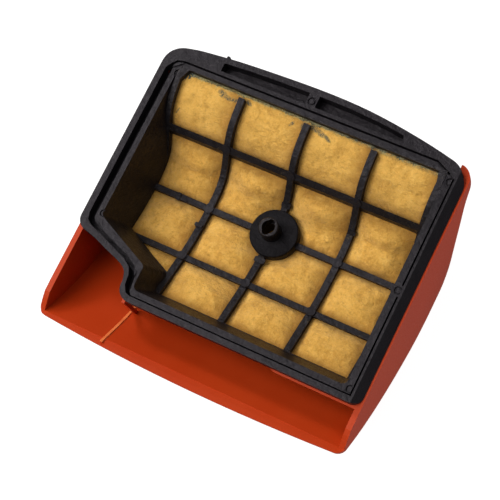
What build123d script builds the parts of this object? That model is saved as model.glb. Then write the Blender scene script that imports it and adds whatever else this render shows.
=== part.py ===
from build123d import *
from math import sin, cos, radians, atan2, degrees, hypot
import os

os.makedirs("parts", exist_ok=True)

# Air filter housing, millimetres.  The seat plane (the face of the rim that
# meets the engine) is z = 0 and faces +Z; the hood lies below it.  The origin
# is where the retaining sleeve's axis crosses the seat plane.  X runs along
# the long edges, +Y towards the crescent flange, -Y towards the inlet mouth.

# ---------------------------------------------------------------- dimensions
frame_w = 129.6          # frame, outside width along X
hub_from_left = 65.0     # sleeve axis from the frame's left edge
hub_from_bottom = 50.5   # sleeve axis from the frame's lower edge
flange_t = 4.0           # rim flange thickness
block_t = 7.0            # depth of the thick rim section
groove_d = 5.0           # depth of the sealing groove
lip_drop = 0.6           # inner lip sits this far below the outer lip
slot_d = 5.5             # depth of the two crescent slots

rib_w = 2.6              # width of a column rib
row_w = (2.4, 2.4, 2.0)  # width of the row ribs, lowest row first
rib_t = 2.8              # rib thickness
felt_t = 3.0             # felt thickness
fit_gap = 0.06           # gap between felt and each lattice
back_t = 1.8             # rear lattice thickness
col_x = (36.7, 65.0, 93.3)       # column ribs, from the left edge
row_y = (27.8, 50.0, 71.7)       # row ribs, from the lower edge

hub_r = 9.7              # bush flange radius
disc_dx = 0.9            # bush flange stands this far off the sleeve's axis
spigot_r = 6.3           # bush spigot radius
sleeve_r = 4.0           # retaining sleeve radius
sleeve_bore_r = 2.6      # clear bore of the sleeve
run_fit = 0.05           # radial running clearance sleeve / bush
sleeve_top = -14.6       # mouth of the sleeve

hood_l = -0.6            # hood outside faces, from the frame's left edge
hood_r = 130.4
hood_t = 2.2             # hood wall
ridge_z = -41.4          # lowest line of the hood's roof
knob_r = 10.0            # retaining knob radius


def at(x, y):
    """Point given from the frame's lower-left corner, in the part's frame."""
    return (x - hub_from_left, y - hub_from_bottom)


def pts(seq):
    return [at(x, y) for x, y in seq]


# ------------------------------------------------- the arch of the lattice
# Height of the lattice's front face against Y: level with the rim under the
# crescent flange, then a steep bend into a tray about 24 mm deep, rising
# gently again to the lower edge.
arch_pts = [(101.0, 0.5), (93.2, -0.3), (90.5, -0.7), (85.5, -1.8), (81.0, -3.3), (77.0, -5.6),
            (73.0, -9.4), (69.5, -13.8), (66.0, -18.4), (62.5, -21.6), (58.5, -23.3),
            (53.0, -23.9), (46.0, -23.8), (38.0, -22.9), (30.0, -21.1), (22.0, -18.4),
            (14.0, -15.4), (9.0, -13.6), (0.0, -10.3), (-8.0, -7.4)]


def arch_curve(offset):
    """The arch pushed down along its own normal by offset, as (y, z) points."""
    out = []
    n = len(arch_pts)
    for i, (y, z) in enumerate(arch_pts):
        y0, z0 = arch_pts[max(i - 1, 0)]
        y1, z1 = arch_pts[min(i + 1, n - 1)]
        dy, dz = y1 - y0, z1 - z0
        ln = hypot(dy, dz)
        # the list runs towards -Y, so (-dz, dy) points down and away from the seat
        out.append((y - hub_from_bottom - offset * dz / ln, z + offset * dy / ln))
    return out


def arch_at(y):
    """Arch height and its slope dz/dy at y (measured from the lower edge)."""
    for (ya, za), (yb, zb) in zip(arch_pts, arch_pts[1:]):
        if yb <= y <= ya:
            f = (y - yb) / (ya - yb)
            return zb + f * (za - zb), (za - zb) / (ya - yb)
    return arch_pts[-1][1], 0.0


def band_face(top_offset, bottom_offset):
    """Section of a curved sheet between two offsets of the arch, in Y-Z."""
    top = arch_curve(top_offset)
    bot = arch_curve(bottom_offset)
    with BuildSketch(Plane.YZ) as s:
        with BuildLine():
            a = Spline(*top)
            b = Spline(*bot)
            Line(a @ 0, b @ 0)
            Line(a @ 1, b @ 1)
        make_face()
    return s.sketch


def above_face(offset, roof):
    """Section of everything from the arch (pushed down by offset) up to roof."""
    low = arch_curve(offset)
    with BuildSketch(Plane.YZ) as s:
        with BuildLine():
            Spline(*low)
            Polyline(low[0], (low[0][0], roof), (low[-1][0], roof), low[-1])
        make_face()
    return s.sketch


def below_face(offset, floor):
    """Section of everything from the arch (pushed down by offset) to floor."""
    top = arch_curve(offset)
    with BuildSketch(Plane.YZ) as s:
        with BuildLine():
            Spline(*top)
            Polyline(top[0], (top[0][0], floor), (top[-1][0], floor), top[-1])
        make_face()
    return s.sketch


# ----------------------------------------------------------------- outlines
# Outer edge of the frame, with the crescent flange along the top and the
# stepped lower-left corner.
left_edge = [(0, 92.0), (0, 23.4)]
step_edge = [(4.6, 18.6), (9.0, 17.4), (16.0, 14.9), (22.5, 12.7), (26.0, 10.6), (27.4, 7.6), (27.7, 5.0)]
crescent = [(7.4, 100.7), (12.2, 101.6), (18.7, 102.3), (24.0, 102.8), (44.0, 103.9), (66.0, 104.4), (86.0, 103.6),
            (103.0, 101.4), (116.0, 99.0), (122.5, 97.5)]


def frame_outline():
    with BuildSketch() as s:
        with BuildLine():
            Line(*pts(left_edge))
            ThreePointArc(at(0, 23.4), at(1.3, 20.2), at(4.6, 18.6))
            Spline(*pts(step_edge))
            ThreePointArc(at(27.7, 5.0), at(29.3, 1.6), at(33.0, 0))
            Line(at(33.0, 0), at(frame_w - 4.0, 0))
            RadiusArc(at(frame_w - 4.0, 0), at(frame_w, 4.0), -4.0)
            Line(at(frame_w, 4.0), at(frame_w, 88.5))
            Spline(at(frame_w, 88.5), at(127.6, 94.0), at(122.5, 97.5),
                   tangents=[(0, 1), (-1, 0.24)])
            Spline(*pts(crescent[::-1]), tangents=[(-1, 0.24), (-1, -0.2)])
            Spline(at(7.4, 100.7), at(2.4, 98.2), at(0, 92.0), tangents=[(-1, -0.2), (0, -1)])
        make_face()
    return s.sketch


def block_outline():
    """Thick section of the rim, stepped in so that it drops inside the hood."""
    with BuildSketch() as s:
        with BuildLine():
            Polyline(*pts([(1.9, 27.0), (2.2, 23.6), (4.9, 20.2), (9.5, 18.7), (16.3, 16.1), (23.2, 13.8),
                           (27.2, 11.3), (28.3, 7.9), (28.6, 5.2), (30.2, 2.3), (33.0, 1.2),
                           (frame_w - 4.8, 1.9), (frame_w - 1.9, 4.8), (frame_w - 1.9, 86.0),
                           (124.5, 93.8), (117.5, 96.9), (103.5, 99.6), (86.0, 101.9), (66.0, 102.8),
                           (44.0, 102.3), (24.0, 101.2), (10.5, 98.4), (4.8, 95.4), (1.9, 88.0)]), close=True)
        make_face()
    return s.sketch


# Clear opening of the tray at the seat plane and the same outline 30 mm down.
open_a = [(7.3, 93.2), (122.5, 93.2), (122.5, 5.0), (32.3, 5.0), (32.3, 15.0), (7.3, 26.4)]
open_b = [(13.0, 93.2), (116.8, 93.2), (116.8, 14.6), (39.4, 14.6), (39.4, 20.8), (13.0, 32.2)]
wall_a = [(5.3, 95.2), (124.5, 95.2), (124.5, 3.0), (30.3, 3.0), (30.3, 13.7), (5.3, 25.2)]
wall_b = [(11.0, 95.2), (118.8, 95.2), (118.8, 12.6), (37.4, 12.6), (37.4, 19.5), (11.0, 30.9)]
up = 1.0


def lift(a, b, h):
    return [(xa + (xa - xb) * h / 30.0, ya + (ya - yb) * h / 30.0) for (xa, ya), (xb, yb) in zip(a, b)]


with BuildPart() as cavity:
    with BuildSketch(Plane.XY.offset(up)) as ca:
        with BuildLine():
            Polyline(*pts(lift(open_a, open_b, up)), close=True)
        make_face()
        fillet(ca.vertices(), 2.4)
    with BuildSketch(Plane.XY.offset(-30.0)) as cb:
        with BuildLine():
            Polyline(*pts(open_b), close=True)
        make_face()
        fillet(cb.vertices(), 2.4)
    loft(ruled=True)

with BuildPart() as walls:
    with BuildSketch(Plane.XY.offset(0)) as wa:
        with BuildLine():
            Polyline(*pts(wall_a), close=True)
        make_face()
        fillet(wa.vertices(), 3.0)
    with BuildSketch(Plane.XY.offset(-30.0)) as wb:
        with BuildLine():
            Polyline(*pts(wall_b), close=True)
        make_face()
        fillet(wb.vertices(), 3.0)
    loft(ruled=True)
    extrude(above_face(0.0, 5.0), amount=80.0, both=True, mode=Mode.INTERSECT)

# Outline of the filter pack (lattices and felt) and of the felt left visible.
pack_line = [(7.7, 93.1), (122.1, 93.1), (122.1, 79.0), (120.4, 66.0), (120.4, 7.6), (34.0, 7.6),
             (34.0, 17.3), (9.4, 28.4), (9.4, 66.0), (7.7, 79.0)]
view_line = [(12.0, 92.8), (119.0, 92.0), (119.8, 88.0), (119.3, 78.0), (118.5, 66.0), (118.5, 9.6), (35.3, 9.6),
             (35.3, 19.2), (11.4, 29.7), (11.5, 65.0), (10.3, 78.0), (9.9, 88.5)]


def outline_face(line, z=0.0):
    with BuildSketch(Plane.XY.offset(z)) as s:
        with BuildLine():
            Polyline(*pts(line), close=True)
        make_face()
    return s.sketch


with BuildPart() as pocket:
    extrude(outline_face(pack_line, -40.0), amount=45.0)
    extrude(below_face(0.0, -45.0), amount=80.0, both=True, mode=Mode.INTERSECT)

# -------------------------------------------------------------------- frame
groove_left = [(2.6, 90.4), (4.4, 93.4), (5.2, 92.6), (5.2, 24.4), (2.6, 25.4)]
groove_top = [(3.4, 91.6), (5.6, 94.6), (9.0, 95.5), (117.2, 95.5), (123.6, 92.4), (123.2, 91.8), (117.0, 94.8),
              (9.2, 94.8), (6.2, 93.9), (4.4, 91.4)]
groove_step = [(2.6, 25.6), (3.4, 22.9), (5.6, 21.3), (9.8, 19.9), (24.0, 14.6), (27.4, 12.4), (28.7, 9.6),
               (29.3, 5.6), (30.9, 3.0), (33.0, 2.3), (33.0, 2.9), (32.0, 4.2), (31.2, 9.9), (29.2, 13.6),
               (25.2, 16.0), (10.6, 21.4), (6.6, 23.2), (5.2, 24.6), (5.2, 25.6)]
groove_low = [(32.8, 2.3), (125.4, 2.3), (125.4, 2.9), (32.8, 2.9)]
groove_right = [(125.0, 2.3), (125.8, 2.3), (125.8, 91.0), (125.0, 91.0)]
slot_1 = [(24.0, 97.0), (24.0, 100.5), (36.0, 101.2), (48.0, 101.6), (60.8, 101.8), (60.8, 97.0)]
slot_2 = [(65.0, 97.0), (65.0, 101.9), (78.0, 101.7), (91.0, 100.8), (101.2, 99.6), (101.9, 97.0)]
marks = [(7.9, 27.4), (8.2, 90.0), (124.6, 89.4), (124.6, 44.5), (124.4, 4.6)]

with BuildPart() as frame:
    extrude(frame_outline(), amount=-flange_t)
    with BuildSketch(Plane.XY.offset(-flange_t + 0.2)):
        add(block_outline())
    extrude(amount=-(block_t - flange_t + 0.2))
    # witness stub of the moulding gate on the crescent's outer edge
    with BuildSketch(Plane.XY.offset(-0.2)):
        with Locations(at(24.3, 103.0)):
            RectangleRounded(1.3, 1.5, 0.4)
    extrude(amount=-2.6)
    add(walls.part)
    add(cavity.part, mode=Mode.SUBTRACT)
    add(pocket.part, mode=Mode.SUBTRACT)
    # inner lip, a little lower than the outer one
    with BuildSketch() as lip:
        with BuildLine():
            Polyline(*pts([(5.2, 91.4), (5.2, 24.5), (10.6, 21.4), (25.2, 16.0), (31.0, 11.5), (31.6, 4.0),
                           (33.4, 2.6), (125.4, 2.6), (125.4, 91.0), (118.0, 94.8), (9.0, 94.8)]), close=True)
        make_face()
    extrude(amount=-lip_drop, mode=Mode.SUBTRACT)
    # sealing groove, wide along the left, a fine line along the other sides
    for g in (groove_left, groove_step, groove_low, groove_right):
        with BuildSketch():
            with BuildLine():
                Polyline(*pts(g), close=True)
            make_face()
        extrude(amount=-groove_d, mode=Mode.SUBTRACT)
    # fine groove between the crescent flange and the ledge over the felt
    with BuildSketch():
        with BuildLine():
            Polyline(*pts(groove_top), close=True)
        make_face()
    extrude(amount=-2.6, mode=Mode.SUBTRACT)
    # two blind slots in the crescent flange
    for g in (slot_1, slot_2):
        with BuildSketch():
            with BuildLine():
                Polyline(*pts(g), close=True)
            make_face()
        extrude(amount=-slot_d, mode=Mode.SUBTRACT)
    # sloping outer face along the right-hand side
    with BuildSketch(Plane.XZ.offset(hub_from_bottom + 6.0)):
        with BuildLine():
            Polyline((126.7 - hub_from_left, 0.4), (126.7 - hub_from_left, 0),
                     (frame_w - hub_from_left - 0.05, -flange_t + 0.5),
                     (frame_w - hub_from_left + 3.0, -flange_t + 0.5),
                     (frame_w - hub_from_left + 3.0, 0.4), close=True)
        make_face()
    extrude(amount=-125.0, mode=Mode.SUBTRACT)
    # side boss on the inner lip, and the round moulding marks
    with BuildSketch(Plane.XY.offset(-lip_drop)):
        with Locations(at(124.3, 44.5)):
            Circle(2.5)
    extrude(amount=-(block_t - lip_drop))
    with BuildSketch(Plane.XY.offset(-lip_drop)):
        with Locations(*pts(marks)):
            Circle(1.6)
            Circle(1.05, mode=Mode.SUBTRACT)
    extrude(amount=-0.8, mode=Mode.SUBTRACT)
    # small round boss on the bridge between the slots
    with BuildSketch():
        with Locations(at(62.9, 98.9)):
            Circle(1.65)
            Circle(1.05, mode=Mode.SUBTRACT)
    extrude(amount=-0.7, mode=Mode.SUBTRACT)

# ------------------------------------------------------------ heat stakes
# One stake at each crossing but the hub's, square to the arch.
stake_planes = []
for j, y in enumerate(row_y):
    for i, x in enumerate(col_x):
        if i == 1 and j == 1:
            continue
        z, slope = arch_at(y)
        nx, ny, nz = 0.0, -slope, 1.0
        px, py = at(x, y)
        stake_planes.append(Plane(origin=(px, py, z), x_dir=(1, 0, 0), z_dir=(nx, ny, nz)))


def stake_holes(radius):
    with BuildPart() as h:
        for pl in stake_planes:
            with BuildSketch(pl):
                Circle(radius)
            extrude(amount=-14.0, both=True)
    return h.part


stake_r = 1.2
head_r = 1.9


def lattice(top, bottom, hub_hole, hub_pad, pad_top, pad_bottom, pad_clear):
    """A lattice of three columns and three rows inside a border.  The columns
    stop short of the border's upper side."""
    col_end = 90.2
    with BuildPart() as p:
        with BuildSketch(Plane.XY.offset(-45.0)):
            add(outline_face(pack_line))
            add(outline_face(view_line), mode=Mode.SUBTRACT)
            for x in col_x:
                with Locations(at(x, (7.05 + col_end) / 2)):
                    Rectangle(rib_w, col_end - 7.05)
            for y, w in zip(row_y, row_w):
                with Locations(at(65.0, y)):
                    Rectangle(110.0, w)
            # the lower-left corner outside the step stays open
            with BuildLine():
                Polyline(*pts([(-5, 28.0), (9.4, 28.4), (34.0, 17.3), (34.0, 0.0), (-5, 0.0)]), close=True)
            make_face(mode=Mode.SUBTRACT)
        extrude(amount=50.0)
        extrude(band_face(top, bottom), amount=80.0, both=True, mode=Mode.INTERSECT)
        with BuildSketch(Plane.XY.offset(pad_top)):
            with Locations((disc_dx, 0)):
                Circle(hub_pad)
        extrude(amount=pad_bottom - pad_top)
        if pad_clear:
            with BuildSketch(Plane.XY.offset(pad_top)):
                with Locations((disc_dx, 0)):
                    Circle(hub_pad + 0.15)
            extrude(amount=8.0, mode=Mode.SUBTRACT)
        with BuildSketch(Plane.XY.offset(-45.0)):
            Circle(hub_hole)
        extrude(amount=50.0, mode=Mode.SUBTRACT)
        add(stake_holes(stake_r), mode=Mode.SUBTRACT)
    return p.part


back_top = rib_t + 2 * fit_gap + felt_t
pad_z = -22.9

# small raised collars on the front lattice: (x, y, width, length)
collars = ((36.1, 42.2, 3.3, 1.7), (93.8, 62.6, 3.3, 1.7), (22.9, 49.8, 1.7, 3.1), (65.2, 38.8, 4.4, 2.2),
           (65.4, 62.6, 3.8, 2.2))

with BuildPart() as front_grid:
    add(lattice(0.0, rib_t, spigot_r, hub_r, pad_z, -26.8, True))
    for cx, cy, cw, cl in collars:
        cz, cs = arch_at(cy)
        with BuildSketch(Plane(origin=(*at(cx, cy), cz), x_dir=(1, 0, 0), z_dir=(0.0, -cs, 1.0)).offset(-0.8)):
            RectangleRounded(cw, cl, 0.5)
        extrude(amount=1.2)

with BuildPart() as back_grid:
    add(lattice(back_top, back_top + back_t, spigot_r, hub_r, -30.4, -32.5, False))
    # trimmed at the top, clear of the hood's back wall
    with BuildSketch(Plane.XY.offset(-45.0)):
        with Locations(at(65.0, 95.4)):
            Rectangle(130.0, 10.0)
    extrude(amount=50.0, mode=Mode.SUBTRACT)

# --------------------------------------------------------------------- felt
with BuildPart() as felt:
    extrude(outline_face([(8.2, 92.6), (121.6, 92.6), (121.6, 79.0), (119.9, 66.0), (119.9, 8.1), (34.6, 8.1),
                          (34.6, 17.7), (9.9, 28.8), (9.9, 66.0), (8.2, 79.0)], -45.0), amount=50.0)
    extrude(band_face(rib_t + fit_gap, rib_t + fit_gap + felt_t), amount=80.0, both=True, mode=Mode.INTERSECT)
    with BuildSketch(Plane.XY.offset(-45.0)):
        Circle(spigot_r + 0.4)
    extrude(amount=50.0, mode=Mode.SUBTRACT)
    # the pad of the front lattice sinks into the felt
    with BuildSketch(Plane.XY.offset(-26.9)):
        with Locations((disc_dx, 0)):
            Circle(hub_r + 0.3)
    extrude(amount=8.0, mode=Mode.SUBTRACT)
    with BuildSketch(Plane.XY.offset(-34.0)):
        with Locations((disc_dx, 0)):
            Circle(hub_r + 0.3)
    extrude(amount=3.7, mode=Mode.SUBTRACT)
    add(stake_holes(stake_r + 0.25), mode=Mode.SUBTRACT)

stake_tail = back_top + back_t
with BuildPart() as heat_stakes:
    for pl in stake_planes:
        with BuildSketch(pl.offset(-0.02)):
            Circle(stake_r)
        extrude(amount=-(stake_tail - 0.02))
        with BuildSketch(pl.offset(0.14)):
            Circle(head_r)
        extrude(amount=0.45)
        with BuildSketch(pl.offset(0.2)):
            Circle(stake_r)
        extrude(amount=-0.3)
        with BuildSketch(pl.offset(-stake_tail - 0.15)):
            Circle(head_r)
        extrude(amount=-0.7)
        with BuildSketch(pl.offset(-stake_tail + 0.1)):
            Circle(stake_r)
        extrude(amount=-0.4)

# ----------------------------------------------------------------- hub bush
with BuildPart() as hub_bush:
    with BuildSketch(Plane.XY.offset(pad_z)):
        with Locations((disc_dx, 0)):
            Circle(hub_r)
    extrude(amount=1.5)
    fillet(hub_bush.edges().group_by(Axis.Z)[-1], 0.5)
    with BuildSketch(Plane.XY.offset(pad_z)):
        Circle(spigot_r)
    extrude(amount=-(32.9 + pad_z))
    with BuildSketch(Plane.XY.offset(-34.0)):
        Circle(sleeve_r + run_fit)
    extrude(amount=15.0, mode=Mode.SUBTRACT)

# ---------------------------------------------------------- retaining parts
insert_top = -30.9
insert_l = 6.5
insert_r = 3.2
sleeve_end = -39.4
knob_top = -37.6
pocket_floor_out = -37.3     # outer face of the pocket's floor in the hood
pocket_floor_in = -35.5
with BuildPart() as sleeve:
    with BuildSketch(Plane.XY.offset(sleeve_top)):
        Circle(sleeve_r)
    extrude(amount=sleeve_end - sleeve_top)
    chamfer(sleeve.edges().group_by(Axis.Z)[-1], 0.35)
    with BuildSketch(Plane.XY.offset(sleeve_top)):
        Circle(sleeve_bore_r)
    extrude(amount=-23.0, mode=Mode.SUBTRACT)
    # seat of the thread insert, below the clear bore
    with BuildSketch(Plane.XY.offset(insert_top)):
        Circle(insert_r)
    extrude(amount=-insert_l, mode=Mode.SUBTRACT)
    # key slot across the mouth
    with BuildSketch(Plane.XY.offset(sleeve_top)):
        SlotOverall(6.7, 3.0, rotation=82)
    extrude(amount=-4.2, mode=Mode.SUBTRACT)
    # two small steps left standing in the mouth between the key ways
    with BuildSketch(Plane.XY.offset(sleeve_top - 0.9)):
        with PolarLocations(2.9, 2, start_angle=-28):
            Rectangle(0.9, 1.6)
    extrude(amount=-1.6, mode=Mode.SUBTRACT)

with BuildPart() as thread_insert:
    with BuildSketch(Plane.XY.offset(insert_top)):
        Circle(insert_r)
        Circle(2.1, mode=Mode.SUBTRACT)
    extrude(amount=-insert_l)
    chamfer(thread_insert.edges().filter_by(GeomType.CIRCLE).group_by(Axis.Z)[-1].sort_by(SortBy.RADIUS)[0], 0.4)

with BuildPart() as knob:
    with BuildSketch(Plane.XY.offset(knob_top)):
        Circle(knob_r)
        with PolarLocations(knob_r + 1.6, 8):
            Circle(2.9, mode=Mode.SUBTRACT)
    extrude(amount=-(-ridge_z + knob_top))
    fillet(knob.edges().group_by(Axis.Z)[0], 0.8)
    with BuildSketch(Plane.XY.offset(knob_top)):
        Circle(sleeve_r)
    extrude(amount=sleeve_end - knob_top, mode=Mode.SUBTRACT)
    # screwdriver slot across the knob's face
    with BuildSketch(Plane.XY.offset(ridge_z)):
        SlotOverall(12.5, 2.2)
    extrude(amount=1.3, mode=Mode.SUBTRACT)

with BuildPart() as clip:
    with BuildSketch(Plane.XY.offset(-35.2)):
        Circle(6.4)
        Circle(sleeve_r, mode=Mode.SUBTRACT)
    extrude(amount=1.0)

with BuildPart() as seal:
    with BuildSketch(Plane.XZ):
        with Locations((sleeve_r + 0.62, -33.56)):
            Circle(0.6)
    revolve(axis=Axis.Z)

# --------------------------------------------------------------------- hood
# Section of the hood across its width: back wall, ridge, long roof, lip.
outer_back = [(98.4, -4.0), (96.9, -7.0), (93.4, -9.9), (88.7, -13.2), (83.0, -20.0), (77.0, -27.4), (71.6, -34.2)]
outer_ridge = [(68.2, -37.7), (64.0, -40.2), (58.6, ridge_z), (52.0, ridge_z)]
outer_roof = [(52.0, ridge_z), (44.5, -41.0), (37.6, -39.9), (28.4, -37.2), (19.2, -33.6), (9.4, -28.9),
              (-0.1, -23.2), (-9.7, -15.9), (-13.6, -12.4), (-21.0, -6.0)]
inner_back = [(96.0, -4.0), (94.9, -5.7), (91.9, -8.1), (87.0, -11.9), (81.3, -18.6), (75.3, -26.0), (70.0, -32.7)]
inner_ridge = [(66.7, -36.0), (63.1, -38.1), (58.4, -39.2), (52.2, -39.2)]
inner_roof = [(52.2, -39.2), (44.9, -38.8), (38.2, -37.7), (29.2, -35.1), (20.2, -31.5), (10.5, -26.9),
              (1.2, -21.4), (-8.3, -14.2), (-12.2, -10.7), (-22.0, -2.2)]
line_low = [(-17.2, -6.4), (-12.2, -10.7), (-8.3, -14.2), (1.2, -21.4), (10.5, -26.9), (20.2, -31.5)]
side_top = [(-21.0, -6.0), (-21.0, -5.2), (-19.5, -5.9), (-17.4, -6.9), (-15.4, -8.0), (-13.7, -7.0), (-12.2, -6.1),
            (-10.7, -5.2), (-8.4, -4.2), (-4.2, -4.0), (1.0, -4.0)]


def yz(seq):
    return [(y - hub_from_bottom, z) for y, z in seq]


with BuildPart() as hood:
    with BuildSketch(Plane.YZ.offset(hood_l - hub_from_left)):
        with BuildLine():
            Spline(*yz(outer_back))
            Spline(*yz([outer_back[-1]] + outer_ridge[:3]), tangents=[(-0.62, -0.78), (-1, 0)])
            Line(*yz(outer_ridge[2:]))
            Spline(*yz(outer_roof), tangents=[(-1, 0), (-0.78, 0.62)])
            Polyline(*yz(side_top))
            Line(*yz([side_top[-1], outer_back[0]]))
        make_face()
    extrude(amount=hood_r - hood_l)
    # plan outline: rounded back corners, gently bowed lip
    with BuildSketch(Plane.XY.offset(-60.0)) as plan:
        with BuildLine():
            Polyline(at(hood_l, -16.6), at(hood_l, 98.6), at(hood_r, 98.6), at(hood_r, -17.6))
            ThreePointArc(at(hood_l, -16.6), at(73.0, -19.7), at(hood_r, -17.6))
        make_face()
        fillet(plan.vertices().group_by(Axis.Y)[-1], 6.0)
        fillet(plan.vertices().filter_by(lambda v: v.Y < -60.0), 3.2)
    extrude(amount=60.0, mode=Mode.INTERSECT)
    # hollow it
    with BuildPart(mode=Mode.PRIVATE) as room:
        with BuildSketch(Plane.YZ.offset(hood_l + hood_t - hub_from_left)):
            with BuildLine():
                Spline(*yz(inner_back))
                Spline(*yz([inner_back[-1]] + inner_ridge[:3]), tangents=[(-0.62, -0.78), (-1, 0)])
                Line(*yz(inner_ridge[2:]))
                Spline(*yz(inner_roof))
                Polyline(*yz([inner_roof[-1], (-30.0, -2.2), (-30.0, 5.0), (96.0, 5.0), (96.0, -4.0)]))
            make_face()
        extrude(amount=hood_r - hood_l - 2 * hood_t)
        with BuildSketch(Plane.XY.offset(-60.0)) as rplan:
            with BuildLine():
                Polyline(*pts([(hood_l + hood_t, -40.0), (hood_l + hood_t, 96.1), (hood_r - hood_t, 96.1),
                               (hood_r - hood_t, -40.0)]), close=True)
            make_face()
            fillet(rplan.vertices().group_by(Axis.Y)[-1], 3.8)
        extrude(amount=70.0, mode=Mode.INTERSECT)
    add(room.part, mode=Mode.SUBTRACT)
    # the back wall stops below the thick rim section
    with BuildSketch(Plane.XY.offset(-block_t - 0.05)):
        with BuildLine():
            Polyline(*pts([(4.5, 90.0), (4.5, 110.0), (125.1, 110.0), (125.1, 90.0)]), close=True)
        make_face()
    extrude(amount=10.0, mode=Mode.SUBTRACT)
    # cup for the knob: wall and floor
    with BuildSketch(Plane.XY.offset(pocket_floor_in)):
        Circle(knob_r + 3.4)
    extrude(amount=-4.9)
    with BuildSketch(Plane.XY.offset(-60.0)):
        Circle(knob_r + 1.4)
    extrude(amount=60.0 + pocket_floor_out, mode=Mode.SUBTRACT)
    with BuildSketch(Plane.XY.offset(-60.0)):
        Circle(sleeve_r + 0.5)
    extrude(amount=30.0, mode=Mode.SUBTRACT)
    # ledge under the frame's lower right corner
    with BuildSketch(Plane.XY.offset(-flange_t)) as ledge:
        with BuildLine():
            Polyline(*pts([(93.5, -0.2), (96.0, -0.8), (hood_r - 1.0, -0.8), (hood_r - 1.0, 1.0), (95.0, 1.0)]),
                     close=True)
        make_face()
    extrude(amount=-1.8)
    # post under the corner of the step, standing on the roof
    with BuildSketch(Plane.XY.offset(-flange_t)):
        with BuildLine():
            Polyline(*pts([(29.5, -0.5), (31.0, -0.5), (31.0, 0.9), (29.5, 0.9)]), close=True)
        make_face()
    extrude(amount=-18.6)
    # thin raised line along the roof's inner face, from the lip inwards
    with BuildSketch(Plane.YZ.offset(28.2 - hub_from_left)):
        with BuildLine():
            Spline(*yz([(y, z + 0.55) for y, z in line_low]))
            Spline(*yz([(y, z - 0.7) for y, z in line_low]))
            Line(*yz([(line_low[0][0], line_low[0][1] + 0.55), (line_low[0][0], line_low[0][1] - 0.7)]))
            Line(*yz([(line_low[-1][0], line_low[-1][1] + 0.55), (line_low[-1][0], line_low[-1][1] - 0.7)]))
        make_face()
    extrude(amount=1.0)

# ------------------------------------------------------------------ export
# Everything moves by one offset, so that the origin ends at the middle of the
# object's base: under the centre of its outline, on the plane of the ridge.
pieces = ((hood, "hood"), (frame, "frame"), (front_grid, "front_grid"), (back_grid, "back_grid"),
          (felt, "felt_element"), (heat_stakes, "heat_stakes"), (hub_bush, "hub_bush"),
          (sleeve, "retaining_sleeve"), (thread_insert, "thread_insert"), (knob, "knob"),
          (clip, "retaining_ring"), (seal, "seal_ring"))
boxes = [p.part.bounding_box() for p, name in pieces]
lo = [min(getattr(b.min, k) for b in boxes) for k in "XYZ"]
hi = [max(getattr(b.max, k) for b in boxes) for k in "XYZ"]
shift = (round(-(lo[0] + hi[0]) / 2, 1), round(-(lo[1] + hi[1]) / 2, 1), round(-lo[2], 1))
print("shift", shift)
for p, name in pieces:
    placed = p.part.moved(Location(shift))
    placed.label = name
    export_step(placed, "parts/%s.step" % name)
    bb = placed.bounding_box()
    print(name, len(placed.solids()), "solids", round(placed.volume, 1),
          [round(v, 2) for v in (bb.min.X, bb.max.X, bb.min.Y, bb.max.Y, bb.min.Z, bb.max.Z)], placed.is_valid)
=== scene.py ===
import math
import bpy
import bmesh
import numpy as np
from mathutils import Matrix, Vector, noise
from mathutils.bvhtree import BVHTree


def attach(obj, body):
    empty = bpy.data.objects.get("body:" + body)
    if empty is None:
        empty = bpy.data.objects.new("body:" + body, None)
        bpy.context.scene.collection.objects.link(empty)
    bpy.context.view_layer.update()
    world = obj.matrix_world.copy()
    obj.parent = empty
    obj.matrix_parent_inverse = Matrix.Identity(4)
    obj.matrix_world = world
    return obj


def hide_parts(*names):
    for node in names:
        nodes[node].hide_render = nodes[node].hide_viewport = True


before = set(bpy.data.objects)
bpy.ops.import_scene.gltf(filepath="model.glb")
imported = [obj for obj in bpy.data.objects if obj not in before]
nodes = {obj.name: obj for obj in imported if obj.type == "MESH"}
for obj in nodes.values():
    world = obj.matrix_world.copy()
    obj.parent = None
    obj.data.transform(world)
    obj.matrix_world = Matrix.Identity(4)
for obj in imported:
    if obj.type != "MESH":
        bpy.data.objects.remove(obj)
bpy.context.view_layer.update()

scene = bpy.context.scene
scene.view_settings.view_transform = "Standard"
scene.view_settings.look = "None"

# Plan coordinates in millimetres from the frame's lower-left virtual corner,
# with z = 0 at the seat plane, carried into the row frame in metres.
OX, OY, OZ = -64.9, -42.3, 41.4


def row(x, y, z):
    return Vector(((x + OX) / 1000.0, (y + OY) / 1000.0, (z + OZ) / 1000.0))


# ------------------------------------------------------------------ camera
cam_data = bpy.data.cameras.new("Camera")
cam_data.sensor_width = 36.0
cam_data.lens = 111.0
cam_data.clip_start = 0.02
cam_data.clip_end = 20.0
cam = bpy.data.objects.new("Camera", cam_data)
scene.collection.objects.link(cam)
right = Vector((0.87362950, 0.44127424, -0.20505741))
up = Vector((-0.37532403, 0.87930335, 0.29318508))
back = Vector((0.30968269, -0.17917215, 0.93380617))
cam.matrix_world = Matrix((
    (right.x, up.x, back.x, 0.18004761),
    (right.y, up.y, back.y, -0.10836639),
    (right.z, up.z, back.z, 0.57659669),
    (0, 0, 0, 1)))
scene.camera = cam


# ------------------------------------------------------------------- stage
def new_object(name, mesh):
    o = bpy.data.objects.new(name, mesh)
    scene.collection.objects.link(o)
    return o


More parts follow.
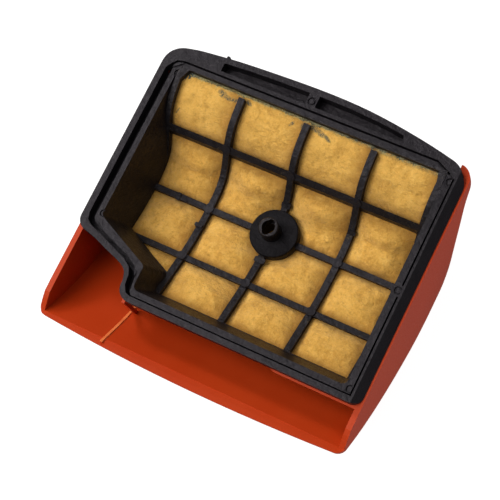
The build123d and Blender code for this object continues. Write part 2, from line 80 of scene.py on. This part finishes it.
fm = bpy.data.meshes.new("studio_floor")
fm.from_pydata([(-3, -3, -0.0004), (3, -3, -0.0004), (3, 3, -0.0004), (-3, 3, -0.0004)], [], [(0, 1, 2, 3)])
floor = new_object("studio_floor", fm)
fmat = bpy.data.materials.new("floor_white")
fmat.use_nodes = True
fb = fmat.node_tree.nodes["Principled BSDF"]
fb.inputs["Base Color"].default_value = (0.22, 0.22, 0.22, 1)
fb.inputs["Roughness"].default_value = 0.9
fb.inputs["Specular IOR Level"].default_value = 0.1
fb.inputs["Emission Color"].default_value = (1, 1, 1, 1)
fb.inputs["Emission Strength"].default_value = 0.95
fm.materials.append(fmat)
floor.visible_glossy = False

world = bpy.data.worlds.new("studio")
scene.world = world
world.use_nodes = True
world.node_tree.nodes["Background"].inputs["Color"].default_value = (1.0, 1.0, 1.0, 1)
world.node_tree.nodes["Background"].inputs["Strength"].default_value = 0.18
backdrop = world.node_tree.nodes.new("ShaderNodeBackground")
backdrop.inputs["Color"].default_value = (1.0, 1.0, 1.0, 1)
backdrop.inputs["Strength"].default_value = 1.0
path = world.node_tree.nodes.new("ShaderNodeLightPath")
both = world.node_tree.nodes.new("ShaderNodeMixShader")
world.node_tree.links.new(path.outputs["Is Camera Ray"], both.inputs[0])
world.node_tree.links.new(world.node_tree.nodes["Background"].outputs[0], both.inputs[1])
world.node_tree.links.new(backdrop.outputs[0], both.inputs[2])
world.node_tree.links.new(both.outputs[0], world.node_tree.nodes["World Output"].inputs["Surface"])


def area(name, where, target, size, watts, colour=(1, 1, 1)):
    d = bpy.data.lights.new(name, "AREA")
    d.shape = "RECTANGLE"
    d.size, d.size_y = size
    d.energy = watts
    d.color = colour
    o = bpy.data.objects.new(name, d)
    scene.collection.objects.link(o)
    o.location = where
    o.rotation_mode = "QUATERNION"
    o.rotation_quaternion = (Vector(target) - Vector(where)).to_track_quat("-Z", "Y")
    return o


centre = Vector((0, 0.0, 0.03))
key_dir = Vector((-0.42, -0.20, 0.88)).normalized()
area("key", centre + key_dir * 1.2, centre, (0.75, 0.75), 11.4, (1.0, 0.985, 0.96))
sheen_dir = Vector((-0.62, 0.46, 0.64)).normalized()
area("sheen", centre + sheen_dir * 1.2, centre, (0.30, 0.30), 4.8)
top_dir = (0.05 * right + 0.25 * up + 1.0 * back).normalized()
area("top", centre + top_dir * 1.3, centre, (0.7, 0.7), 2.0)


# --------------------------------------------------------------- materials
def base_material(name):
    m = bpy.data.materials.new(name)
    m.use_nodes = True
    nt = m.node_tree
    return m, nt, nt.nodes["Principled BSDF"]


def add(nt, kind, **inputs):
    n = nt.nodes.new(kind)
    for k, v in inputs.items():
        n.inputs[k.replace("_", " ")].default_value = v
    return n


def ramp(nt, fac, stops):
    r = nt.nodes.new("ShaderNodeValToRGB")
    el = r.color_ramp.elements
    while len(el) < len(stops):
        el.new(0.5)
    for e, (p, c) in zip(el, stops):
        e.position = p
        e.color = (*c, 1)
    nt.links.new(fac, r.inputs["Fac"])
    return r.outputs["Color"]


def scaled_coords(nt, scale=(1, 1, 1)):
    tc = nt.nodes.new("ShaderNodeTexCoord")
    mp = nt.nodes.new("ShaderNodeMapping")
    mp.inputs["Scale"].default_value = scale
    nt.links.new(tc.outputs["Object"], mp.inputs["Vector"])
    return mp.outputs["Vector"]


def noise_node(nt, vec, scale, detail=4.0, rough=0.55, distort=0.0):
    n = nt.nodes.new("ShaderNodeTexNoise")
    n.inputs["Scale"].default_value = scale
    n.inputs["Detail"].default_value = detail
    n.inputs["Roughness"].default_value = rough
    n.inputs["Distortion"].default_value = distort
    nt.links.new(vec, n.inputs["Vector"])
    return n.outputs["Fac"]


def mix_colour(nt, fac, a, b, blend="MIX"):
    n = nt.nodes.new("ShaderNodeMix")
    n.data_type = "RGBA"
    n.blend_type = blend
    for sock, v in ((n.inputs[0], fac), (n.inputs[6], a), (n.inputs[7], b)):
        if hasattr(v, "links"):
            nt.links.new(v, sock)
        elif isinstance(v, tuple):
            sock.default_value = (*v, 1)
        else:
            sock.default_value = v
    return n.outputs[2]


def math_node(nt, op, a, b=None, clamp=False):
    n = nt.nodes.new("ShaderNodeMath")
    n.operation = op
    n.use_clamp = clamp
    for sock, v in ((n.inputs[0], a), (n.inputs[1], b)):
        if v is None:
            continue
        if hasattr(v, "links"):
            nt.links.new(v, sock)
        else:
            sock.default_value = v
    return n.outputs[0]


def map_range(nt, v, a, b, c, d):
    n = nt.nodes.new("ShaderNodeMapRange")
    n.inputs["From Min"].default_value = a
    n.inputs["From Max"].default_value = b
    n.inputs["To Min"].default_value = c
    n.inputs["To Max"].default_value = d
    nt.links.new(v, n.inputs["Value"])
    return n.outputs["Result"]


def bump(nt, height, strength, distance, normal=None):
    b = nt.nodes.new("ShaderNodeBump")
    b.inputs["Strength"].default_value = strength
    b.inputs["Distance"].default_value = distance
    nt.links.new(height, b.inputs["Height"])
    if normal is not None:
        nt.links.new(normal, b.inputs["Normal"])
    return b.outputs["Normal"]


def blob(nt, x, y, rx, ry, turn=0.0):
    """1 at (x, y) mm in plan, falling to 0 at the ellipse rx by ry, turned by degrees."""
    tc = nt.nodes.new("ShaderNodeTexCoord")
    mp = nt.nodes.new("ShaderNodeMapping")
    mp.vector_type = "TEXTURE"
    mp.inputs["Location"].default_value = ((x + OX) / 1000.0, (y + OY) / 1000.0, 0.0)
    mp.inputs["Rotation"].default_value = (0.0, 0.0, math.radians(turn))
    mp.inputs["Scale"].default_value = (rx / 1000.0, ry / 1000.0, 1000.0)
    nt.links.new(tc.outputs["Object"], mp.inputs["Vector"])
    ln = nt.nodes.new("ShaderNodeVectorMath")
    ln.operation = "LENGTH"
    nt.links.new(mp.outputs["Vector"], ln.inputs[0])
    return math_node(nt, "SUBTRACT", 1.0, ln.outputs["Value"], True)


def plan_axis(nt, axis):
    """One plan coordinate in millimetres from the lower-left virtual corner."""
    tc = nt.nodes.new("ShaderNodeTexCoord")
    sp = nt.nodes.new("ShaderNodeSeparateXYZ")
    nt.links.new(tc.outputs["Object"], sp.inputs[0])
    mm = math_node(nt, "MULTIPLY", sp.outputs[axis], 1000.0)
    return math_node(nt, "SUBTRACT", mm, (OX, OY, OZ)[axis])


def ridge_highlight_mask(nt, breakup):
    """The raised line on the roof's inner face, painted pale as a highlight along it."""
    x = math_node(nt, "ABSOLUTE", math_node(nt, "SUBTRACT", plan_axis(nt, 0), 28.7))
    across = map_range(nt, x, 0.50, 0.72, 1.0, 0.0)
    y = plan_axis(nt, 1)
    along = math_node(nt, "MULTIPLY", map_range(nt, y, -17.4, -16.8, 0.0, 1.0), map_range(nt, y, 14.0, 20.0, 1.0, 0.0))
    inside = math_node(nt, "MULTIPLY", across, along)
    geo = nt.nodes.new("ShaderNodeNewGeometry")
    sp = nt.nodes.new("ShaderNodeSeparateXYZ")
    nt.links.new(geo.outputs["True Normal"], sp.inputs[0])
    inside = math_node(nt, "MULTIPLY", inside, math_node(nt, "GREATER_THAN", sp.outputs[2], -0.1))
    return math_node(nt, "MULTIPLY", inside, map_range(nt, breakup, 0.3, 0.6, 0.55, 0.95))


def black_plastic(name, dark, light, rough_lo, rough_hi, grain=0.00006, dusty=0.0):
    m, nt, p = base_material(name)
    v = scaled_coords(nt)
    broad = noise_node(nt, v, 38.0, 3.0)
    fine = noise_node(nt, v, 900.0, 5.0, 0.6)
    col = ramp(nt, broad, [(0.3, dark), (0.75, light)])
    geo = nt.nodes.new("ShaderNodeNewGeometry")
    edge = map_range(nt, geo.outputs["Pointiness"], 0.52, 0.62, 0.0, 0.35)
    wear_and_highlight = math_node(nt, "MULTIPLY", edge, noise_node(nt, v, 260.0, 3.0), True)
    col = mix_colour(nt, wear_and_highlight, col, (0.040, 0.038, 0.041))
    if dusty:
        lint = noise_node(nt, v, 620.0, 6.0, 0.75, 1.2)
        col = mix_colour(nt, map_range(nt, lint, 0.60, 0.68, 0.0, dusty), col, (0.20, 0.150, 0.070))
    nt.links.new(col, p.inputs["Base Color"])
    nt.links.new(map_range(nt, fine, 0.3, 0.7, rough_lo, rough_hi), p.inputs["Roughness"])
    p.inputs["Specular IOR Level"].default_value = 0.20
    p.inputs["Specular Tint"].default_value = (1.0, 0.93, 1.0, 1)
    skin = noise_node(nt, v, 330.0, 4.0, 0.65, 0.7)
    low = bump(nt, skin, 0.70, grain * 9.0, bump(nt, broad, 0.2, 0.0004))
    nt.links.new(bump(nt, fine, 0.35, grain, low), p.inputs["Normal"])
    return m


def orange_plastic(name):
    m, nt, p = base_material(name)
    v = scaled_coords(nt)
    broad = noise_node(nt, v, 14.0, 2.0)
    fine = noise_node(nt, v, 1100.0, 4.0, 0.6)
    flow = noise_node(nt, scaled_coords(nt, (1.0, 0.25, 0.25)), 60.0, 3.0)
    col = ramp(nt, broad, [(0.25, (0.43, 0.032, 0.0036)), (0.8, (0.49, 0.041, 0.0052))])
    col = mix_colour(nt, map_range(nt, flow, 0.45, 0.8, 0.0, 0.16), col, (0.60, 0.075, 0.016))
    # painted highlight: a pale orange band along the raised line on the roof's inner face
    wear_and_highlight = ridge_highlight_mask(nt, noise_node(nt, v, 300.0, 3.0))
    col = mix_colour(nt, wear_and_highlight, col, (0.86, 0.210, 0.060))
    nt.links.new(col, p.inputs["Base Color"])
    nt.links.new(map_range(nt, fine, 0.3, 0.7, 0.40, 0.52), p.inputs["Roughness"])
    p.inputs["Specular IOR Level"].default_value = 0.26
    p.inputs["Specular Tint"].default_value = (1.0, 0.72, 0.58, 1)
    nt.links.new(bump(nt, fine, 0.25, 0.00005, bump(nt, broad, 0.1, 0.0003)), p.inputs["Normal"])
    return m


mat_black = black_plastic("black_moulded", (0.0060, 0.0050, 0.0065), (0.0115, 0.0095, 0.0120), 0.36, 0.52, 0.00009)
mat_grid = black_plastic("black_moulded_lattice", (0.0060, 0.0050, 0.0062), (0.0125, 0.0105, 0.0120), 0.34, 0.54, 0.00016, 0.38)
# painted shade: the hub gets a darker, less glossy copy of the black plastic
mat_hub_shaded = black_plastic("black_moulded_hub_shaded", (0.0030, 0.0027, 0.0032), (0.0065, 0.0058, 0.0068), 0.50, 0.66, 0.00012)
mat_hub_shaded.node_tree.nodes["Principled BSDF"].inputs["Specular IOR Level"].default_value = 0.09
mat_sleeve = black_plastic("sleeve_dark_plastic", (0.0026, 0.0016, 0.0012), (0.0060, 0.0036, 0.0026), 0.30, 0.42)
mat_orange = orange_plastic("orange_moulded")


def metal(name, colour, rough):
    m, nt, p = base_material(name)
    v = scaled_coords(nt, (1, 1, 12))
    n = noise_node(nt, v, 700.0, 3.0)
    nt.links.new(ramp(nt, n, [(0.3, tuple(c * 0.85 for c in colour)), (0.7, colour)]), p.inputs["Base Color"])
    nt.links.new(map_range(nt, n, 0.3, 0.7, rough, rough + 0.14), p.inputs["Roughness"])
    p.inputs["Metallic"].default_value = 1.0
    nt.links.new(bump(nt, n, 0.2, 0.00004), p.inputs["Normal"])
    return m


def rubber(name):
    m, nt, p = base_material(name)
    v = scaled_coords(nt)
    n = noise_node(nt, v, 1400.0, 4.0)
    nt.links.new(ramp(nt, n, [(0.3, (0.012, 0.012, 0.012)), (0.7, (0.022, 0.022, 0.022))]), p.inputs["Base Color"])
    nt.links.new(map_range(nt, n, 0.3, 0.7, 0.7, 0.85), p.inputs["Roughness"])
    nt.links.new(bump(nt, n, 0.3, 0.00005), p.inputs["Normal"])
    return m


mat_brass = metal("brass_turned", (0.72, 0.50, 0.22), 0.28)
mat_steel = metal("steel_ring", (0.56, 0.56, 0.57), 0.3)
mat_rubber = rubber("seal_rubber_black")

for node, mat in (("hood", mat_orange), ("frame", mat_black), ("front_grid", mat_grid), ("back_grid", mat_black),
                  ("heat_stakes", mat_black), ("hub_bush", mat_hub_shaded), ("retaining_sleeve", mat_sleeve),
                  ("knob", mat_sleeve), ("thread_insert", mat_brass), ("retaining_ring", mat_steel),
                  ("seal_ring", mat_rubber)):
    me = nodes[node].data
    me.materials.clear()
    me.materials.append(mat)


# -------------------------------------------------------------- felt element
# The felt is one soft sheet pinched between the two lattices.  It is built as
# a closed form on the CAD solid's own height, blown up by a cloth simulation
# with everything under a rib held, and then given its fibres by material.
felt_cad = nodes["felt_element"]
bvh = BVHTree.FromPolygons([v.co[:] for v in felt_cad.data.vertices],
                           [tuple(p.vertices) for p in felt_cad.data.polygons])
COLS = (36.7, 65.0, 93.3)
ROWS = ((27.8, 1.2), (50.0, 1.2), (71.7, 1.0))
RIB = 2.6
HUB = (65.9, 50.5)
rng = np.random.RandomState(7)


def profile(y, side):
    """Height of the felt's upper (side 1) or lower (side -1) face at y, in mm."""
    yy = min(max(y, 8.35), 92.4)
    p = row(51.0, yy, 40.0 * side)
    if side < 0:
        p.z = -0.02
    hit = bvh.ray_cast(p, Vector((0, 0, -side)))[0]
    return hit.z * 1000.0 - OZ


ny = 86
ys = np.linspace(8.3, 92.5, ny)
tops = np.array([profile(y, 1) for y in ys])
bots = np.array([profile(y, -1) for y in ys])


def span(y):
    """Left and right edge of the felt at y."""
    if y < 17.7:
        xl = 34.8
    elif y < 28.8:
        xl = 34.8 + (9.9 - 34.6) * (y - 17.7) / 11.1
    elif y < 66.0:
        xl = 10.0
    elif y < 79.0:
        xl = 10.0 - 1.7 * (y - 66.0) / 13.0
    else:
        xl = 8.3
    xr = 119.8 if y < 66.0 else 119.8 + 1.7 * min(1.0, (y - 66.0) / 13.0)
    return xl, xr


nx = 112
grid = np.zeros((ny, nx, 2))
for j, y in enumerate(ys):
    xl, xr = span(y)
    grid[j, :, 0] = np.linspace(xl, xr, nx)
    grid[j, :, 1] = y


def held(x, y):
    """1 where a rib, the border or the hub's pad grips the felt."""
    if min(abs(x - c) for c in COLS) < RIB / 2 + 0.15 and y < 90.6:
        return 1.0
    if min(abs(y - r) - w for r, w in ROWS) < 0.15:
        return 1.0
    if math.hypot(x - HUB[0], y - HUB[1]) < 10.0:
        return 1.0
    xl, xr = span(y)
    if x < xl + 1.3 or x > xr - 1.3 or y < 9.4 or y > 92.2:
        return 1.0
    return 0.0


S = 20.0        # the simulation runs at 20 times size, where the solver's units behave


def felt_sheet():
    verts, faces, pin = [], [], []
    for layer, hs in ((0, tops), (1, bots)):
        for j in range(ny):
            for i in range(nx):
                x, y = grid[j, i]
                p = row(x, y, hs[j])
                verts.append(p * S)
                pin.append(held(x, y))
    n = nx * ny
    for j in range(ny - 1):
        for i in range(nx - 1):
            a = j * nx + i
            faces.append((a, a + 1, a + nx + 1, a + nx))
            faces.append((n + a, n + a + nx, n + a + nx + 1, n + a + 1))
    rim = [i for i in range(nx)] + [j * nx + nx - 1 for j in range(1, ny)] \
        + [(ny - 1) * nx + i for i in range(nx - 2, -1, -1)] + [j * nx for j in range(ny - 2, 0, -1)]
    for a, b in zip(rim, rim[1:] + rim[:1]):
        faces.append((b, a, n + a, n + b))
    me = bpy.data.meshes.new("felt_blanket")
    me.from_pydata(verts, [], faces)
    me.validate()
    bm = bmesh.new()
    bm.from_mesh(me)
    bmesh.ops.recalc_face_normals(bm, faces=bm.faces)
    bm.to_mesh(me)
    bm.free()
    return new_object("felt_blanket", me), pin


felt, pin = felt_sheet()
start = np.array([v.co[:] for v in felt.data.vertices])


def swell(obj, weights):
    g = obj.vertex_groups.new(name="held")
    for i, w in enumerate(weights):
        if w > 0:
            g.add([i], w, "REPLACE")
    mod = obj.modifiers.new("Cloth", "CLOTH")
    st = mod.settings
    st.quality = 6
    st.mass = 0.3
    st.tension_stiffness = 12
    st.compression_stiffness = 12
    st.shear_stiffness = 6
    st.bending_stiffness = 0.6
    st.use_pressure = True
    st.uniform_pressure_force = 5.0
    st.effector_weights.gravity = 0.0
    st.vertex_group_mass = "held"
    mod.collision_settings.use_collision = False
    for f in range(1, 21):
        scene.frame_set(f)
    dg = bpy.context.evaluated_depsgraph_get()
    ev = obj.evaluated_get(dg)
    co = np.array([v.co[:] for v in ev.data.vertices])
    obj.modifiers.remove(mod)
    obj.vertex_groups.remove(g)
    scene.frame_set(1)
    return co


end = swell(felt, pin)
move = (end - start) / S * 1000.0
print("felt move mm: max", np.abs(move).max(), "mean", np.abs(move[:, 2]).mean(), "z", move[:, 2].min(), move[:, 2].max())

# cap how far a point may move, then add small lumps and pulls of the needled felt
limit = 1.7
move = np.clip(move, -limit, limit)
free_mask = 1.0 - np.array(pin)
kernel = np.array([1.0, 4.0, 6.0, 4.0, 1.0]) / 16.0
for layer in (0, 1):
    part = move[layer * nx * ny:(layer + 1) * nx * ny].reshape(ny, nx, 3)
    mask = free_mask[layer * nx * ny:(layer + 1) * nx * ny].reshape(ny, nx, 1)
    for _ in range(3):
        pad = np.pad(part, ((2, 2), (2, 2), (0, 0)), mode="edge")
        part = sum(kernel[k] * pad[k:k + ny, 2:2 + nx] for k in range(5))
        pad = np.pad(part, ((2, 2), (2, 2), (0, 0)), mode="edge")
        part = sum(kernel[k] * pad[2:2 + ny, k:k + nx] for k in range(5)) * (0.35 + 0.65 * mask)
    move[layer * nx * ny:(layer + 1) * nx * ny] = part.reshape(-1, 3) * (3.5 if layer == 0 else 1.2)
pos = start / S + move / 1000.0
n_side = nx * ny
rest_pos = start / S


def lumps(p, s, seed):
    return noise.noise(Vector((p[0] * s + seed, p[1] * s - seed, p[2] * s + 3.7 * seed)))


pinch_and_crease_shade = np.zeros(len(pos))
painted_side_shade = np.zeros(len(pos))
for k in range(len(pos)):
    j, i = divmod(k % n_side, nx)
    x, y = grid[j, i]
    up_side = 1.0 if k < n_side else -1.0
    d = min(min(abs(x - c) for c in COLS) - RIB / 2 if y < 90.6 else 9.0, min(abs(y - r) - w for r, w in ROWS))
    d = min(d, math.hypot(x - HUB[0], y - HUB[1]) - 9.8)
    xl, xr = span(y)
    d = min(d, x - xl - 1.0, xr - x - 1.0, y - 9.2)
    # the felt is pinched along the ribs, border and hub pad, and the darkening this drives is painted shade in those
    # creases
    pinch_and_crease_shade[k] = max(0.0, 1.0 - max(d, 0.0) / 2.6)
    free = min(1.0, 0.12 + max(0.0, d) / 1.6)
    a = 0.62 * lumps(rest_pos[k], 140.0, 1.0) + 0.48 * lumps(rest_pos[k], 380.0, 5.0) \
        + 0.22 * lumps(rest_pos[k], 900.0, 9.0)
    pos[k, 2] += up_side * a * free / 1000.0
    # painted shade: each cell is darker towards its right-hand side and towards its lower edge
    edges = (xl,) + COLS + (xr,)
    cell = max([e for e in edges if e <= x + 1e-6] or [xl])
    nxt = min([e for e in edges if e > x + 1e-6] or [xr])
    u = (x - cell) / max(nxt - cell, 1.0)
    painted_side_shade[k] = max(0.0, (u - 0.66) / 0.34) ** 1.6
    rows = (8.3,) + tuple(r for r, w in ROWS) + (92.5,)
    under = max([e for e in rows if e <= y + 1e-6] or [8.3])
    painted_side_shade[k] = max(painted_side_shade[k], 0.8 * max(0.0, 1.0 - (y - under - 1.0) / 4.5) ** 1.6)

felt.data.vertices.foreach_set("co", pos.astype(np.float32).ravel())
felt.data.update()
for poly in felt.data.polygons:
    poly.use_smooth = True

for nm, arr in (("pinch_and_crease_shade", pinch_and_crease_shade), ("painted_side_shade", painted_side_shade)):
    at = felt.data.attributes.new(nm, "FLOAT", "POINT")
    at.data.foreach_set("value", arr.astype(np.float32))
sub = felt.modifiers.new("smooth", "SUBSURF")
sub.levels = 1
sub.render_levels = 1


SCRIBBLES = ((27.9, 89.6, 2.4, 1.5, -20), (30.6, 88.8, 2.2, 1.0, -8), (33.2, 89.0, 2.6, 0.9, 4), (39.0, 90.2, 2.0, 0.9, -25),
             (63.6, 89.6, 2.0, 1.6, 40), (67.6, 90.3, 2.8, 1.4, -14), (70.6, 89.4, 2.8, 1.2, -22), (73.8, 88.4, 2.4, 0.9, -28),
             (58.5, 88.6, 1.6, 0.8, 60), (12.0, 78.0, 1.6, 0.4, 60))


def felt_material(name):
    m, nt, p = base_material(name)
    v = scaled_coords(nt)
    fibre = noise_node(nt, scaled_coords(nt, (1.0, 0.45, 1.0)), 1500.0, 6.0, 0.7, 0.6)
    cross = noise_node(nt, scaled_coords(nt, (0.4, 1.0, 1.0)), 1100.0, 5.0, 0.65, 0.8)
    tuft = noise_node(nt, v, 430.0, 6.0, 0.72, 0.25)
    cloud = noise_node(nt, v, 170.0, 4.0, 0.62, 0.2)
    patch = noise_node(nt, v, 60.0, 3.0, 0.6)
    y = plan_axis(nt, 1)
    x = plan_axis(nt, 0)
    col = ramp(nt, cloud, [(0.30, (0.560, 0.262, 0.034)), (0.50, (0.760, 0.392, 0.066)), (0.70, (0.900, 0.505, 0.105))])
    col = mix_colour(nt, map_range(nt, tuft, 0.54, 0.68, 0.0, 0.60), col, (0.95, 0.590, 0.150))
    col = mix_colour(nt, map_range(nt, tuft, 0.47, 0.33, 0.0, 0.70), col, (0.50, 0.225, 0.030))
    col = mix_colour(nt, map_range(nt, fibre, 0.42, 0.62, 0.0, 0.40), col, (0.95, 0.590, 0.150))
    col = mix_colour(nt, map_range(nt, cross, 0.54, 0.70, 0.0, 0.50), col, (0.44, 0.200, 0.032))
    col = mix_colour(nt, map_range(nt, patch, 0.52, 0.74, 0.0, 0.42), col, (0.53, 0.255, 0.048))
    # painted light: the top row is painted lighter
    col = mix_colour(nt, map_range(nt, y, 70.0, 82.0, 0.0, 0.12), col, (0.93, 0.600, 0.150))
    # painted shade on each cell's right-hand and lower sides, from the attribute computed above
    at = nt.nodes.new("ShaderNodeAttribute")
    at.attribute_name = "painted_side_shade"
    col = mix_colour(nt, math_node(nt, "MULTIPLY", at.outputs["Fac"], 0.95), col, (0.34, 0.140, 0.020))
    # painted shade: darker where the felt meets a rib, the border or the hub pad, where it is pinched and creased
    at2 = nt.nodes.new("ShaderNodeAttribute")
    at2.attribute_name = "pinch_and_crease_shade"
    edge = math_node(nt, "MULTIPLY", at2.outputs["Fac"], map_range(nt, tuft, 0.3, 0.7, 0.95, 0.45))
    col = mix_colour(nt, edge, col, (0.36, 0.165, 0.028))
    # ragged pale fibres along the upper edge, then grey-green specks, thicker to the right
    rag = noise_node(nt, scaled_coords(nt, (1.0, 1.6, 1.0)), 420.0, 6.0, 0.75, 1.2)
    near = map_range(nt, y, 89.2, 92.3, 0.0, 0.30)
    col = mix_colour(nt, map_range(nt, math_node(nt, "ADD", near, rag), 0.74, 0.80, 0.0, 0.75), col, (0.60, 0.545, 0.235))
    speck = noise_node(nt, v, 900.0, 6.0, 0.80, 1.2)
    band = map_range(nt, x, 50.0, 100.0, 91.2, 89.9)
    depth = math_node(nt, "MULTIPLY", math_node(nt, "SUBTRACT", y, band), 0.5, True)
    close = math_node(nt, "MULTIPLY", depth, map_range(nt, speck, 0.44, 0.60, 0.10, 1.0))
    close = math_node(nt, "MULTIPLY", close, map_range(nt, x, 20.0, 90.0, 0.45, 1.10))
    masks = [blob(nt, *b) for b in SCRIBBLES]
    grown = masks[0]
    for k in masks[1:]:
        grown = math_node(nt, "MAXIMUM", grown, k)
    smudge = math_node(nt, "MULTIPLY", math_node(nt, "POWER", grown, 0.55), map_range(nt, speck, 0.42, 0.56, 0.15, 1.5))
    col = mix_colour(nt, math_node(nt, "MAXIMUM", smudge, close, True), col, (0.070, 0.086, 0.066))
    nt.links.new(col, p.inputs["Base Color"])
    nt.links.new(map_range(nt, fibre, 0.3, 0.7, 0.82, 0.97), p.inputs["Roughness"])
    p.inputs["Specular IOR Level"].default_value = 0.2
    p.inputs["Sheen Weight"].default_value = 0.25
    p.inputs["Sheen Roughness"].default_value = 0.5
    p.inputs["Sheen Tint"].default_value = (1.0, 0.85, 0.6, 1)
    low = bump(nt, tuft, 0.60, 0.0008, bump(nt, cloud, 0.45, 0.0012))
    nt.links.new(bump(nt, fibre, 0.9, 0.0005, bump(nt, cross, 0.8, 0.0006, low)), p.inputs["Normal"])
    return m


felt.data.materials.clear()
felt.data.materials.append(felt_material("needled_felt"))
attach(felt, "housing")
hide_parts("felt_element")

# The moulding bites into the felt's upper edge and leaves a ragged lip there,
# and a rougher patch in the upper left corner.
def ragged(name, centre_line, width_in, width_out, seed, across=9, lift=0.10):
    verts, faces = [], []
    for i, (x, y, z) in enumerate(centre_line):
        a = noise.noise(Vector((i * 0.11 + seed, seed, 0.3)))
        b = noise.noise(Vector((i * 0.43 - seed, 2.1 * seed, 1.7)))
        c = noise.noise(Vector((i * 0.90 + seed, 3.3 * seed, 2.9)))
        wi = max(0.15, width_in * (0.60 + 0.80 * a + 0.75 * b + 0.50 * c))
        wo = width_out * (0.8 + 0.4 * c)
        for j in range(across):
            t = j / (across - 1)
            yy = y - wi + (wi + wo) * t
            h = math.sin(math.pi * min(1.0, 0.08 + 0.92 * t)) ** 0.7
            r = noise.noise(Vector((x * 1.9, yy * 1.9, seed))) + 0.6 * noise.noise(Vector((x * 4.7, yy * 4.7, seed)))
            zz = max(z, profile(min(yy, 92.4), 1)) + lift * (h + 0.9 * r * h) + 0.10 * h
            verts.append(row(x, yy, zz))
    n = len(centre_line)
    for i in range(n - 1):
        for j in range(across - 1):
            a = i * across + j
            faces.append((a, a + across, a + across + 1, a + 1))
    me = bpy.data.meshes.new(name)
    me.from_pydata(verts, [], faces)
    for poly in me.polygons:
        poly.use_smooth = True
    o = new_object(name, me)
    me.materials.append(mat_flash)
    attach(o, "housing")
    return o


def flash_material(name):
    m, nt, p = base_material(name)
    v = scaled_coords(nt)
    a = noise_node(nt, v, 800.0, 6.0, 0.75, 1.4)
    b = noise_node(nt, v, 260.0, 4.0, 0.6, 0.5)
    col = ramp(nt, a, [(0.34, (0.012, 0.013, 0.016)), (0.48, (0.075, 0.092, 0.085)), (0.58, (0.22, 0.23, 0.15)), (0.70, (0.50, 0.44, 0.20))])
    col = mix_colour(nt, map_range(nt, b, 0.42, 0.62, 0.0, 0.55), col, (0.020, 0.022, 0.026))
    x = plan_axis(nt, 0)
    pale = ramp(nt, a, [(0.36, (0.10, 0.085, 0.030)), (0.52, (0.46, 0.36, 0.12)), (0.70, (0.70, 0.60, 0.26))])
    left = math_node(nt, "MULTIPLY", map_range(nt, x, 13.0, 16.0, 0.0, 1.0), map_range(nt, x, 56.0, 84.0, 0.95, 0.45))
    col = mix_colour(nt, math_node(nt, "MULTIPLY", left, map_range(nt, b, 0.35, 0.60, 1.0, 0.35)), col, pale)
    nt.links.new(col, p.inputs["Base Color"])
    nt.links.new(map_range(nt, a, 0.3, 0.7, 0.45, 0.85), p.inputs["Roughness"])
    p.inputs["Specular IOR Level"].default_value = 0.3
    nt.links.new(bump(nt, a, 0.9, 0.0006), p.inputs["Normal"])
    return m


mat_flash = flash_material("felt_edge_flash")
edge_z = profile(92.3, 1)
ragged("felt_lip_upper", [(x, 92.5, edge_z) for x in np.arange(9.2, 119.8, 0.3)], 1.15, 0.5, 3.1, 9, 0.20)
corner = [(8.6 + 0.2 * k, 92.4 - 0.045 * k, edge_z) for k in range(22)]
ragged("felt_lip_corner", corner, 2.3, 0.4, 7.7, 13, 0.28)

# soft edges on the moulded parts, in the modifiers only
for node, width in (("frame", 0.00022), ("front_grid", 0.0003), ("hood", 0.00035), ("hub_bush", 0.0002)):
    b = nodes[node].modifiers.new("edges", "BEVEL")
    b.width = width
    b.segments = 2
    b.limit_method = "ANGLE"
    b.angle_limit = math.radians(40)
    b.harden_normals = True
